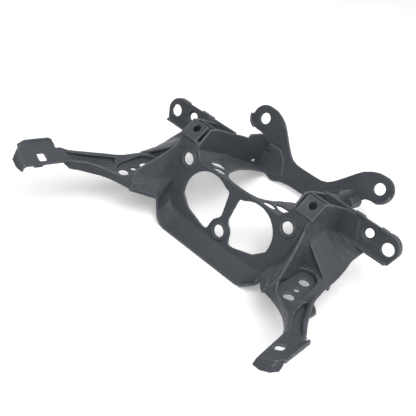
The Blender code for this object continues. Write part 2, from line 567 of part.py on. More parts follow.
def hook(pieces, cuts):
    """Hook plate at the arm's end, with its raised side flange, end lip and square hole."""
    bend_a = Vector((156.2, -80.6, 11.6))
    bend_b = Vector((160.2, -131.4, 9.4))
    low_a = Vector((138.0, -80.6, 6.4))
    low_b = Vector((144.3, -130.7, -0.4))
    rows = []
    for i in range(6):
        t = i / 5
        low = low_a.lerp(low_b, t)
        bend = bend_a.lerp(bend_b, t)
        rows.append([low, low.lerp(bend, 0.5), bend])
    shell("hook_web", pieces, rows, behind=(0, 0, -1))
    side = [
        [(156.4, -87.6, 11.0), (159.4, -88.2, 14.6), (161.2, -90.6, 16.8)],
        [(157.0, -92.0, 10.8), (160.2, -92.0, 14.6), (163.0, -93.6, 17.9)],
        [(158.2, -107.0, 10.2), (161.4, -107.0, 13.6), (164.2, -108.4, 16.4)],
        [(159.4, -121.0, 9.6), (162.6, -121.0, 12.8), (165.2, -121.6, 15.0)],
        [(160.0, -128.6, 9.2), (162.8, -128.4, 11.6), (164.6, -126.4, 12.8)],
    ]
    shell("hook_side", pieces, side, behind=(1, 0, -1))
    lip = [
        [(144.2, -129.4, -0.6), (152.4, -129.9, 4.2), (159.4, -130.0, 8.6), (163.4, -126.4, 11.6)],
        [(144.3, -132.0, -2.8), (152.6, -132.8, 2.2), (160.2, -132.8, 6.0), (165.2, -127.4, 7.6)],
        [(144.2, -132.6, -6.6), (152.6, -134.0, -5.4), (160.3, -133.6, -1.8), (164.8, -127.8, 0.8)],
    ]
    shell("hook_lip", pieces, lip, behind=(0, 1, 0))
    x, y, size = HOOK_HOLE
    across = Vector((16.8, 1.0, 8.4))
    along = Vector((4.6, -47.0, -4.0))
    place = frame((x, y, 5.6), across, along)
    h = size / 2
    plate("square_hole", cuts, rounded([(-h, -h, 1), (h, -h, 1), (h, h, 1), (-h, h, 1)], 2), 14.0,
          place @ Matrix.Translation((0, 0, 7)), chamfer=0)
    catch = place @ Matrix.Translation((-h - 0.4, 0.6, 2.8))
    plate("hook_catch", pieces, [(-1.2, -1.6), (2.0, -1.6), (2.0, 1.6), (-1.2, 1.6)], 2.9, catch, chamfer=0)
    lug = frame((142.8, -115.0, 2.0), across, -along) @ Matrix.Translation((0, 0, -1.4))
    plate("hook_lug", pieces, [(-1.2, -4.6), (2.6, -5.4), (2.6, 5.4), (-1.2, 4.6)], 3.2, lug, chamfer=0)


def rest_tilt():
    """Angle that brings the skirt's edge and the rear bracket's foot to one level."""
    lean = math.radians(EAR_LEAN)
    foot = 24.4
    rear_y = EAR_Y + (foot - EAR_HEIGHT) * math.sin(lean)
    rear_z = EAR_HEIGHT + (foot - EAR_HEIGHT) * math.cos(lean)
    return math.atan2(rear_z - SKIRT_EDGE[1], rear_y - SKIRT_EDGE[0])


def joined(name, collection, pieces, cuts):
    """One closed body: every piece joined, every cutter taken away, and the left half cut off."""
    first = pieces.objects[0]
    body = bpy.data.objects.new(name, first.data.copy())
    collection.objects.link(body)
    bpy.data.objects.remove(first)
    join = body.modifiers.new("Join", "BOOLEAN")
    join.operation = "UNION"
    join.operand_type = "COLLECTION"
    join.collection = pieces
    join.solver = "EXACT"
    for cutter in cuts.objects:
        cut = body.modifiers.new(cutter.name, "BOOLEAN")
        cut.operation = "DIFFERENCE"
        cut.object = cutter
        cut.solver = "EXACT"
    depsgraph = bpy.context.evaluated_depsgraph_get()
    mesh = bpy.data.meshes.new_from_object(body.evaluated_get(depsgraph))
    body.modifiers.clear()
    body.data = mesh
    weld(mesh, 4e-6)
    drop_points_on_edges(mesh)
    return body


def drop_points_on_edges(mesh):
    """Remove the points that the joins leave in the middle of a straight edge, then split large faces."""
    shape = bmesh.new()
    shape.from_mesh(mesh)
    spare = [v for v in shape.verts if len(v.link_edges) == 2]
    bmesh.ops.dissolve_verts(shape, verts=spare)
    large = [f for f in shape.faces if len(f.verts) > 3]
    bmesh.ops.triangulate(shape, faces=large)
    shape.to_mesh(mesh)
    shape.free()


def clear_middle(mesh):
    """Take off the cut faces on the plane of symmetry, where the mirrored half joins."""
    shape = bmesh.new()
    shape.from_mesh(mesh)
    flat = [f for f in shape.faces if all(abs(v.co.x) < 1e-7 for v in f.verts)]
    bmesh.ops.delete(shape, geom=flat, context="FACES")
    for vert in shape.verts:
        if abs(vert.co.x) < 1e-6:
            vert.co.x = 0.0
    shape.to_mesh(mesh)
    shape.free()


def at_rest(mesh):
    """Turn the stay so that it lies on its skirt and its rear bracket, centred over the origin."""
    points = [v.co for v in mesh.vertices]
    middle = (min(p.y for p in points) + max(p.y for p in points)) / 2
    tilt = rest_tilt()
    for _ in range(6):
        up = Vector((0, -math.sin(tilt), math.cos(tilt)))
        front = min((p for p in points if p.y < middle), key=lambda p: p.dot(up))
        rear = min((p for p in points if p.y >= middle), key=lambda p: p.dot(up))
        tilt = math.atan2(rear.z - front.z, rear.y - front.y)
    mesh.transform(Matrix.Rotation(-tilt, 4, "X"))
    points = [v.co for v in mesh.vertices]
    depth = (min(p.y for p in points) + max(p.y for p in points)) / 2
    mesh.transform(Matrix.Translation((0, -depth, -min(p.z for p in points))))


def moulded_black():
    """Matt charcoal nylon with glass fibre."""
    material = bpy.data.materials.new("moulded_black")
    material.use_nodes = True
    shader = material.node_tree.nodes["Principled BSDF"]
    shader.inputs["Base Color"].default_value = (0.055, 0.06, 0.066, 1)
    shader.inputs["Roughness"].default_value = 0.5
    shader.inputs["Metallic"].default_value = 0.0
    return material


def main():
    for obj in list(bpy.data.objects):
        bpy.data.objects.remove(obj)
    scene = bpy.context.scene.collection
    stay = bpy.data.collections.new("fairing_stay")
    pieces = bpy.data.collections.new("stay_pieces")
    cuts = bpy.data.collections.new("stay_cuts")
    for collection in (stay, pieces, cuts):
        scene.children.link(collection)

    instrument_plate(pieces, cuts)
    skirt(pieces)
    roof(pieces, cuts)
    tower(pieces, cuts)
    side_wall(pieces)
    mirror_flange(pieces, cuts)
    rear_bracket(pieces, cuts)
    cheek(pieces)
    pocket(pieces)
    gusset(pieces)
    arm(pieces, cuts)
    hook(pieces, cuts)
    block = [(-30, -60), (0, -60), (0, 160), (-30, 160)]
    plate("left_half", cuts, block, 200.0, frame((0, 0, 140), (1, 0, 0), (0, 1, 0)), chamfer=0)

    body = joined("stay_body", stay, pieces, cuts)
    clear_middle(body.data)
    mirror = body.modifiers.new("Mirror", "MIRROR")
    mirror.use_axis = (True, False, False)
    mirror.merge_threshold = 0.00001
    body.data.materials.append(moulded_black())
    at_rest(body.data)
    body.data.shade_smooth()
    body.data.set_sharp_from_angle(angle=math.radians(28))


main()
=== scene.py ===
"""Looks of a motorcycle fairing stay: its moulded surface, its finish, and the stage it lies on."""

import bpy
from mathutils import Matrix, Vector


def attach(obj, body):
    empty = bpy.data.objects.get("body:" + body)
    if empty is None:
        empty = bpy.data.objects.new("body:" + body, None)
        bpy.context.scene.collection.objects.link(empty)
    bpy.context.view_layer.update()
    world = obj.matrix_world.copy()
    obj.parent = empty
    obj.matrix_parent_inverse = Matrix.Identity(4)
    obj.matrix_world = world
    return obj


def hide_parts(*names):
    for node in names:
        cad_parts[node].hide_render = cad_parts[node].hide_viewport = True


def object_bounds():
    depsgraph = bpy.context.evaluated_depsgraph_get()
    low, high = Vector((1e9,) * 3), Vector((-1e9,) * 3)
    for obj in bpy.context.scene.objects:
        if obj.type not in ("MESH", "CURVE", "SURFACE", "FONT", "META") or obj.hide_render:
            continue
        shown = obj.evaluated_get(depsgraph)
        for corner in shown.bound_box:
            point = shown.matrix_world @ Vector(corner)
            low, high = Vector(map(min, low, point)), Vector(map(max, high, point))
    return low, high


bl_info = {
    "name": "Fairing stay looks",
    "version": (1, 0, 0),
    "blender": (4, 5, 0),
    "location": "View3D > Sidebar > Fairing stay",
    "description": "Moulded surface, plastic finish, floor, lights and camera of a fairing stay",
    "category": "Object",
}

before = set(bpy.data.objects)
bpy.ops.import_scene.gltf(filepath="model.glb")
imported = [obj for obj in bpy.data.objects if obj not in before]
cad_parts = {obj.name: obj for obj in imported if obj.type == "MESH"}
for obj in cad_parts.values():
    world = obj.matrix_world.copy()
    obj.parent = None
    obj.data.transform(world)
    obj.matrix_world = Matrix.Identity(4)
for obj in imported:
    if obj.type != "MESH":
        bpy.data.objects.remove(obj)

import math

import bmesh
import bpy
from bpy.props import FloatProperty, FloatVectorProperty, IntProperty, PointerProperty
from mathutils import Matrix, Vector

CAD_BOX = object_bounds()
NODE = "stay_body"
BODY = "root"
MILLIMETRE = 0.001
SAME_PLACE = 1e-6                      # corners closer than this many metres are one
SMOOTHING = 0.5                        # share of the way to its neighbours that a pass moves a point
ROUND_CORNERS = 40                     # corners of every round cutter and collar

# The stay's own frame, in which its plate stands upright, as it lies on the floor
REST_TILT = math.radians(18.478)
REST_SHIFT = (0.0, -18.60, 18.92)

# Places on the right half of the stay, in millimetres in its own frame
PIN_HOLE = (116.8, 56.5, 63.6)         # smaller hole of the mirror flange, on the front face
PIN_SEAT_RADIUS = 6.5
PIN_SEAT_DEPTH = 2.0
CUTTER_LEAD = 4.0                      # how far a round cutter starts in front of the face it cuts

# Five stations along each gusset, from its tower down to its arm
RIDGE = (
    (82.4, -2.2, 51.6), (85.2, -8.6, 41.6), (88.2, -16.4, 32.8), (91.6, -25.6, 24.2), (94.0, -34.0, 15.6))
SHOULDER = (
    (84.6, 2.6, 48.0), (92.0, 5.2, 39.6), (94.2, 5.6, 27.0), (95.5, 3.0, 17.0), (95.0, -20.0, 13.4))
SHOULDER_ROOT = (-2.0, 1.0, -9.0)      # from the middle of the shoulder to its buried lower edge
STEP_LINE = (
    (75.2, -0.1, 17.2), (78.4, -13.0, 15.2), (82.4, -23.2, 12.8), (86.4, -32.8, 10.2), (90.8, -38.8, 8.2))
STEP_FOOT = (
    (69.6, -12.0, -2.6), (70.6, -21.8, 0.2), (75.2, -27.6, 0.8), (80.4, -34.0, 0.6), (88.0, -40.2, 0.4))
STEP_OUT = Vector((-0.80, -0.60, 0.0))
STEP_WIDTH = 4.0
STEP_DROP = 1.7
STEP_FOOT_OUT = 1.6                    # how far the thicker wall stands out at its foot
STEP_ROOT = 2.0                        # how far the ledge is sunk in the wall

# Outer edge of the hook plate's side flange, and the section of the bead along it
HOOK_EDGE = (
    (161.2, -90.6, 16.8), (163.0, -93.6, 17.9), (164.2, -108.4, 16.4), (165.2, -121.6, 15.0),
    (165.0, -128.0, 10.8))
HOOK_RIM = ((-1.2, 0, -0.6), (-0.6, 0, 1.0), (1.3, 0, 0.9), (1.3, 0, -1.6))

# Arched panel of the cross plate: corners as distance from the plate's middle, and height
ARCH = ((26.0, 36.0), (33.0, 52.0), (42.5, 60.0), (57.0, 60.0), (63.5, 50.0), (62.0, 30.0), (46.0, 27.5))
ARCH_FACE_Y = 126.8                    # front of the leaning cross plate, carried down to zero height
ARCH_LEAN = math.radians(7.9)
ARCH_RISE = 1.6
ARCH_ROOT = 2.0                        # how far the panel is sunk in the cross plate
SLOT_IN_PANEL = (57.7, 133.8, 51.2)
SLOT_IN_PANEL_SIZE = (5.4, 12.0, 2.0)
SLOT_IN_WALL = (59.0, 117.5, 38.4)
SLOT_IN_WALL_SIZE = (14.0, 9.0, 2.4)

# Blocks on the upper edge of the mirror flange: centre and size
EDGE_BLOCKS = (
    ((103.0, 56.2, 75.2), (8.0, 3.6, 3.4)),
    ((130.0, 56.0, 74.6), (9.0, 3.4, 3.6)),
)
TAB_CENTRE = (74.1, 4.4, 72.8)
TAB_TILT = math.radians(48.0)
TAB_HOLE_SHIFT = 2.8                   # from the tab's centre up to its hole
TAB_COLLAR_RADIUS = 4.042
TAB_COLLAR_THICKNESS = 0.559
TAB_COLLAR_DEPTH = 2.6                 # from the tab's face down to the collar

# Finish
SHEEN = 0.14                           # how strongly the plastic mirrors the room
REFRACTION = 1.5
FLOW_CONTRAST = 0.16
FLOW_STRETCH = (1.0, 0.55, 1.0)
BLOTCH_SCALE = 160.0
BLOTCH_SHARE = 0.6
EDGE_FADE = 0.05                       # bend over which an edge turns fully pale, as rubbed wear and painted highlight
CORNER_SHADE_FADE = 0.06                     # bend over which an inner corner turns fully to its painted shade
CORNER_SHADE_SHARE = 0.8                     # how dark the painted shade gets in the deepest inner corner
ROUGHNESS_SPREAD = 0.07
GRAIN_STRENGTH = 0.6

# Lamps: place beside the stay's middle with the height over the floor, and size, in metres
OVERHEAD_LAMP = ((0.52, 0.02, 1.25), 1.5)
REAR_LAMP = ((0.30, 0.85, 1.00), 1.0)
FRONT_LAMP = ((0.30, -0.66, 1.18), 1.4)
FLOOR_SIZE = 6.0
FLOOR_GAP = 0.0002                     # keeps the floor just clear of the stay
SENSOR_WIDTH = 36.0


class SurfaceSettings(bpy.types.PropertyGroup):
    """How finely the moulded surface is made."""

    voxel: FloatProperty(
        name="Surface step", description="Size of the cells that the moulded surface is made with",
        default=0.00062, min=0.0003, subtype="DISTANCE", unit="LENGTH", precision=5)
    softness: IntProperty(
        name="Edge softness", description="Smoothing passes over the moulded edges", default=5, min=0)
    triangles: IntProperty(
        name="Triangles", description="Most triangles in the finished moulding", default=185000, min=1000)


class FinishSettings(bpy.types.PropertyGroup):
    """Colours and texture of the moulded plastic."""

    plastic: FloatVectorProperty(
        name="Plastic", description="Colour of the moulded black plastic",
        default=(0.0575, 0.0630, 0.0720, 1.0), size=4, min=0.0, max=1.0, subtype="COLOR")
    # Partly rubbed wear and partly painted highlight: pale colour laid on convex edges
    scuff_and_highlight: FloatVectorProperty(
        name="Scuffed edges", description="Colour of edges rubbed pale by handling",
        default=(0.180, 0.190, 0.208, 1.0), size=4, min=0.0, max=1.0, subtype="COLOR")
    # Painted shade: colour laid into inner corners, where shade falls
    painted_corner_shade: FloatVectorProperty(
        name="Creases", description="Colour of the plastic in inner corners, where nothing rubs it",
        default=(0.018, 0.0195, 0.024, 1.0), size=4, min=0.0, max=1.0, subtype="COLOR")
    roughness: FloatProperty(
        name="Roughness", description="Mean roughness of the spark-eroded faces",
        default=0.42, min=0.0, max=1.0, subtype="FACTOR")
    grain: FloatProperty(
        name="Grain", description="Width of the mould's fine grain",
        default=0.0009, min=0.0001, subtype="DISTANCE", unit="LENGTH", precision=5)
    grain_depth: FloatProperty(
        name="Grain depth", description="Depth of the mould's fine grain",
        default=0.00006, min=0.0, subtype="DISTANCE", unit="LENGTH", precision=5)
    flow: FloatProperty(
        name="Flow marks", description="Length of the faint flow marks in the plastic",
        default=0.035, min=0.001, subtype="DISTANCE", unit="LENGTH")


class StageSettings(bpy.types.PropertyGroup):
    """Floor, light and camera."""

    floor: FloatVectorProperty(
        name="Floor", description="Colour of the studio floor",
        default=(0.90, 0.90, 0.90, 1.0), size=4, min=0.0, max=1.0, subtype="COLOR")
    floor_glow: FloatProperty(
        name="Floor glow", description="Extra brightness of the floor as the camera sees it",
        default=0.24, min=0.0, max=1.0)
    sky: FloatProperty(
        name="Room light", description="Strength of the even light of the room", default=0.20, min=0.0)
    overhead: FloatProperty(
        name="Overhead light", description="Power of the large lamp overhead on the right",
        default=12.0, min=0.0, unit="POWER")
    rear: FloatProperty(
        name="Rear light", description="Power of the lamp high behind on the right",
        default=2.5, min=0.0, unit="POWER")
    front: FloatProperty(
        name="Front light", description="Power of the lamp in front",
        default=14.0, min=0.0, unit="POWER")
    azimuth: FloatProperty(
        name="Camera azimuth", description="How far round to the right of the front the camera stands",
        default=math.radians(36.01), subtype="ANGLE", unit="ROTATION")
    elevation: FloatProperty(
        name="Camera elevation", description="How far the camera looks down",
        default=math.radians(38.35), subtype="ANGLE", unit="ROTATION")
    roll: FloatProperty(
        name="Camera roll", description="How far the camera is tilted about its own axis",
        default=math.radians(11.88), subtype="ANGLE", unit="ROTATION")
    place: FloatVectorProperty(
        name="Camera place", description="Where the camera stands",
        default=(0.31629, -0.47885, 0.48599), size=3, subtype="TRANSLATION", unit="LENGTH")
    lens: FloatProperty(
        name="Focal length", description="Camera's focal length in millimetres", default=64.04, min=1.0)


def deselect():
    """Leave nothing selected and nothing in edit mode."""
    if bpy.context.object and bpy.context.object.mode != "OBJECT":
        bpy.ops.object.mode_set(mode="OBJECT")
    bpy.ops.object.select_all(action="DESELECT")


def only(obj):
    """Select one object and make it the active one."""
    deselect()
    obj.select_set(True)
    bpy.context.view_layer.objects.active = obj


def apply_modifiers(obj):
    """Apply every modifier of an object, first to last."""
    only(obj)
    for name in [modifier.name for modifier in obj.modifiers]:
        bpy.ops.object.modifier_apply(modifier=name)


def rest_matrix():
    """Matrix from millimetres in the stay's own frame to metres as it lies."""
    return (Matrix.Translation(Vector(REST_SHIFT) * MILLIMETRE)
            @ Matrix.Rotation(-REST_TILT, 4, "X") @ Matrix.Scale(MILLIMETRE, 4))


def at(point):
    """Place of a point of the stay's own frame as the stay lies."""
    return rest_matrix() @ Vector(point)


def heading(direction):
    """Direction in the stay's own frame, as the stay lies."""
    return (rest_matrix().to_3x3() @ Vector(direction)).normalized()


def settle(obj, name):
    """Name an object and put its place and turn into its mesh."""
    only(obj)
    bpy.ops.object.transform_apply(location=True, rotation=True, scale=True)
    obj.name = name
    obj.data.name = name
    return obj


def drum(name, centre, axis, radius, length):
    """Round bar about a point of the stay's own frame."""
    deselect()
    turn = heading(axis).to_track_quat("Z", "Y").to_euler()
    bpy.ops.mesh.primitive_cylinder_add(
        vertices=ROUND_CORNERS, radius=radius * MILLIMETRE, depth=length * MILLIMETRE,
        location=at(centre), rotation=turn)
    return settle(bpy.context.object, name)


def box(name, centre, size):
    """Block about a point of the stay's own frame, square to that frame."""
    deselect()
    bpy.ops.mesh.primitive_cube_add(size=1.0, location=at(centre), rotation=(-REST_TILT, 0.0, 0.0))
    obj = bpy.context.object
    obj.scale = Vector(size) * MILLIMETRE
    return settle(obj, name)


def slab(name, outline, pull):
    """Flat pad: corners in the stay's own frame, extruded by a vector of that frame."""
    deselect()
    bpy.ops.mesh.primitive_circle_add(vertices=len(outline), radius=0.01, fill_type="NGON")
    obj = bpy.context.object
    for vertex, point in zip(obj.data.vertices, outline):
        vertex.co = at(point)
    bpy.ops.object.mode_set(mode="EDIT")
    bpy.ops.mesh.select_all(action="SELECT")
    move = heading(pull) * Vector(pull).length * MILLIMETRE
    bpy.ops.mesh.extrude_region_move(TRANSFORM_OT_translate={"value": move})
    bpy.ops.mesh.select_all(action="SELECT")
    bpy.ops.mesh.normals_make_consistent(inside=False)
    bpy.ops.object.mode_set(mode="OBJECT")
    obj.name = name
    return obj


def loft(name, sections):
    """Solid through unlike sections of the stay's own frame, each with as many corners."""
    corners = len(sections[0])
    shape = bmesh.new()
    rings = [[shape.verts.new(at(point)) for point in section] for section in sections]
    for ring, following in zip(rings, rings[1:]):
        for i in range(corners):
            j = (i + 1) % corners
            shape.faces.new((ring[i], ring[j], following[j], following[i]))
    shape.faces.new(rings[0])
    shape.faces.new(rings[-1])
    bmesh.ops.recalc_face_normals(shape, faces=shape.faces)
    mesh = bpy.data.meshes.new(name)
    shape.to_mesh(mesh)
    shape.free()
    obj = bpy.data.objects.new(name, mesh)
    bpy.context.scene.collection.objects.link(obj)
    return obj


def both_sides(name, parts):
    """Join parts of the right half and mirror them to the left."""
    only(parts[0])
    for part in parts:
        part.select_set(True)
    if len(parts) > 1:
        bpy.ops.object.join()
    obj = bpy.context.object
    obj.name = name
    bpy.context.scene.cursor.location = (0.0, 0.0, 0.0)
    bpy.ops.object.origin_set(type="ORIGIN_CURSOR")
    mirror = obj.modifiers.new("other_side", "MIRROR")
    mirror.use_mirror_merge = False
    apply_modifiers(obj)
    bpy.ops.object.mode_set(mode="EDIT")
    bpy.ops.mesh.select_all(action="SELECT")
    bpy.ops.mesh.normals_make_consistent(inside=False)
    bpy.ops.object.mode_set(mode="OBJECT")
    return obj


def shoulder():
    """Sloping wall between each gusset's ridge and the pocket behind it."""
    sections = []
    for ridge, edge in zip(RIDGE, SHOULDER):
        root = (Vector(ridge) + Vector(edge)) / 2 + Vector(SHOULDER_ROOT)
        sections.append((ridge, edge, root))
    return loft("shoulder", sections)


def gusset_step():
    """Ledge across each gusset's inner face, with the thicker wall below it."""
    sections = []
    for line, foot in zip(STEP_LINE, STEP_FOOT):
        inner = Vector(line)
        outer = inner + STEP_OUT * STEP_WIDTH - Vector((0, 0, STEP_DROP))
        lower = Vector(foot) + STEP_OUT * STEP_FOOT_OUT
        root = (inner + Vector(foot)) / 2 - STEP_OUT * STEP_ROOT
        sections.append((inner, outer, lower, root))
    return loft("gusset_step", sections)


def hook_rim():
    """Bead along the outer edge of each hook plate's side flange."""
    sections = [[Vector(edge) + Vector(corner) for corner in HOOK_RIM] for edge in HOOK_EDGE]
    return loft("hook_rim", sections)


def arch_panel():
    """Raised arched panel on each half of the cross plate, with its slot."""
    forward = Vector((0, -math.cos(ARCH_LEAN), math.sin(ARCH_LEAN)))
    face = [Vector((x, ARCH_FACE_Y + z * math.tan(ARCH_LEAN), z)) for x, z in ARCH]
    sunk = [point - forward * ARCH_ROOT for point in face]
    panel = slab("arch_panel", sunk, forward * (ARCH_ROOT + ARCH_RISE))
    cut(panel, box("slot_in_panel", SLOT_IN_PANEL, SLOT_IN_PANEL_SIZE))
    return panel


def tab_collar():
    """Round collar just inside each screw tab's hole."""
    outward = Vector((0.0, -math.sin(TAB_TILT), math.cos(TAB_TILT)))
    upward = Vector((0.0, math.cos(TAB_TILT), math.sin(TAB_TILT)))
    middle = Vector(TAB_CENTRE) + upward * TAB_HOLE_SHIFT - outward * TAB_COLLAR_DEPTH
    deselect()
    bpy.ops.mesh.primitive_torus_add(
        major_segments=ROUND_CORNERS, minor_segments=10, major_radius=TAB_COLLAR_RADIUS * MILLIMETRE,
        minor_radius=TAB_COLLAR_THICKNESS * MILLIMETRE, location=at(middle),
        rotation=heading(outward).to_track_quat("Z", "Y").to_euler())
    return settle(bpy.context.object, "tab_collar")


def pin_seat():
    """Cutter for the shallow seat round the mirror flange's smaller hole."""
    middle = Vector(PIN_HOLE) + Vector((0, (PIN_SEAT_DEPTH - CUTTER_LEAD) / 2, 0))
    return drum("pin_seat", middle, (0, 1, 0), PIN_SEAT_RADIUS, PIN_SEAT_DEPTH + CUTTER_LEAD)


def cut(obj, cutter):
    """Cut one object out of another and delete the cutter."""
    knife = obj.modifiers.new("cut", "BOOLEAN")
    knife.operation = "DIFFERENCE"
    knife.object = cutter
    apply_modifiers(obj)
    bpy.data.objects.remove(cutter)


def fuse(obj, parts):
    """Join parts to a solid; the moulded surface then runs over all of them."""
    only(obj)
    for part in parts:
        part.select_set(True)
    bpy.ops.object.join()


def merged_copy(node, name):
    """Copy of a CAD node's mesh with its loose triangles joined up."""
    mesh = bpy.data.objects[node].data.copy()
    mesh.name = name
    mesh.materials.clear()
    shape = bmesh.new()
    shape.from_mesh(mesh)
    bmesh.ops.remove_doubles(shape, verts=shape.verts, dist=SAME_PLACE)
    shape.to_mesh(mesh)
    shape.free()
    obj = bpy.data.objects.new(name, mesh)
    bpy.context.scene.collection.objects.link(obj)
    return obj


def soften(obj, settings):
    """Turn the faceted solid into one even, soft-edged moulded surface."""
    remesh = obj.modifiers.new("moulded_surface", "REMESH")
    remesh.mode = "VOXEL"
    remesh.voxel_size = settings.voxel
    smooth = obj.modifiers.new("soft_edges", "SMOOTH")
    smooth.factor = SMOOTHING
    smooth.iterations = settings.softness
    apply_modifiers(obj)
    count = 2 * len(obj.data.polygons)
    if count > settings.triangles:
        thin = obj.modifiers.new("fewer_faces", "DECIMATE")
        thin.ratio = settings.triangles / count
        apply_modifiers(obj)
    only(obj)
    bpy.ops.object.shade_smooth()


def group_node(tree, group, place):
    """Place a node group in a material."""
    node = tree.nodes.new("ShaderNodeGroup")
    node.node_tree = group
    node.location = place
    return node


def new_group(name, inputs, outputs):
    """Shader node group with named inputs (name, default) and outputs (name, kind)."""
    group = bpy.data.node_groups.new(name, "ShaderNodeTree")
    for label, default in inputs:
        socket = group.interface.new_socket(name=label, in_out="INPUT", socket_type="NodeSocketFloat")
        socket.default_value = default
    for label, kind in outputs:
        group.interface.new_socket(name=label, in_out="OUTPUT", socket_type=kind)
    start = group.nodes.new("NodeGroupInput")
    start.location = (-900, 0)
    end = group.nodes.new("NodeGroupOutput")
    end.location = (600, 0)
    return group, start, end


def noise(tree, vector, scale, detail, roughness, place):
    """Noise texture node on a vector, with a fixed scale or one from a socket."""
    node = tree.nodes.new("ShaderNodeTexNoise")
    node.location = place
    node.inputs["Detail"].default_value = detail
    node.inputs["Roughness"].default_value = roughness
    tree.links.new(vector, node.inputs["Vector"])
    if isinstance(scale, (int, float)):
        node.inputs["Scale"].default_value = scale
    else:
        tree.links.new(scale, node.inputs["Scale"])
    return node


def arithmetic(tree, operation, first, second, place):
    """Math node; each operand is a socket or a number."""
    node = tree.nodes.new("ShaderNodeMath")
    node.operation = operation
    node.location = place
    for socket, value in zip(node.inputs, (first, second)):
        if isinstance(value, (int, float)):
            socket.default_value = value
        else:
            tree.links.new(value, socket)
    return node.outputs[0]


def spread(tree, value, low, high, to_low, to_high, place):
    """Map Range node that spreads a value over a new range."""
    node = tree.nodes.new("ShaderNodeMapRange")
    node.location = place
    for label, number in (("From Min", low), ("From Max", high), ("To Min", to_low), ("To Max", to_high)):
        node.inputs[label].default_value = number
    tree.links.new(value, node.inputs["Value"])
    return node.outputs["Result"]


def grain_group():
    """Fine spark-eroded grain over broad, soft unevenness."""
    group, start, end = new_group(
        "mould_grain",
        [("Grain Scale", 1100.0), ("Flow Scale", 30.0)],
        [("Height", "NodeSocketFloat"), ("Shade", "NodeSocketFloat"), ("Gloss", "NodeSocketFloat")])
    coordinates = group.nodes.new("ShaderNodeTexCoord")
    coordinates.location = (-900, 300)
    where = coordinates.outputs["Object"]
    fine = noise(group, where, start.outputs["Grain Scale"], 2.0, 0.6, (-600, 300))
    stretch = group.nodes.new("ShaderNodeMapping")
    stretch.location = (-750, -100)
    stretch.inputs["Scale"].default_value = FLOW_STRETCH
    group.links.new(where, stretch.inputs["Vector"])
    broad = noise(group, stretch.outputs["Vector"], start.outputs["Flow Scale"], 3.0, 0.55, (-500, -100))
    blotch = noise(group, where, BLOTCH_SCALE, 2.0, 0.5, (-500, -400))
    faint = arithmetic(group, "MULTIPLY", blotch.outputs["Fac"], BLOTCH_SHARE, (-250, -400))
    shade = arithmetic(group, "ADD", broad.outputs["Fac"], faint, (0, -200))
    group.links.new(fine.outputs["Fac"], end.inputs["Height"])
    group.links.new(spread(group, shade, 0.45, 1.15, 0.0, 1.0, (200, -200)), end.inputs["Shade"])
    group.links.new(blotch.outputs["Fac"], end.inputs["Gloss"])
    return group


def edge_group():
    """Masks of the convex edges that handling rubs pale and that carry a painted highlight, and of the inner
    corners that get painted shade.
    """
    group, start, end = new_group(
        "edge_wear_and_painted_light",
        [("Reach", 0.512), ("Inner Corner Reach", 0.492), ("Patch Scale", 90.0)],
        [("Mask", "NodeSocketFloat"), ("Corner Shade", "NodeSocketFloat")])
    geometry = group.nodes.new("ShaderNodeNewGeometry")
    geometry.location = (-900, 300)
    coordinates = group.nodes.new("ShaderNodeTexCoord")
    coordinates.location = (-900, -300)
    where = coordinates.outputs["Object"]
    patches = noise(group, where, start.outputs["Patch Scale"], 3.0, 0.6, (-650, -200))
    bend = geometry.outputs["Pointiness"]
    above = arithmetic(group, "SUBTRACT", bend, start.outputs["Reach"], (-600, 200))
    edge = spread(group, above, 0.0, EDGE_FADE, 0.0, 1.0, (-350, 200))
    patchy = spread(group, patches.outputs["Fac"], 0.3, 0.7, 0.35, 1.0, (-350, -200))
    group.links.new(arithmetic(group, "MULTIPLY", edge, patchy, (0, 0)), end.inputs["Mask"])
    # Painted shade mask: the deeper a point lies inside an inner corner, the darker it is painted
    below = arithmetic(group, "SUBTRACT", start.outputs["Inner Corner Reach"], bend, (-600, 0))
    corner_shade_mask = spread(group, below, 0.0, CORNER_SHADE_FADE, 0.0, CORNER_SHADE_SHARE, (-350, 0))
    group.links.new(corner_shade_mask, end.inputs["Corner Shade"])
    return group


def shaded(colour, share):
    """Colour made darker or lighter, at full opacity."""
    return tuple(share * channel for channel in colour[:3]) + (1.0,)


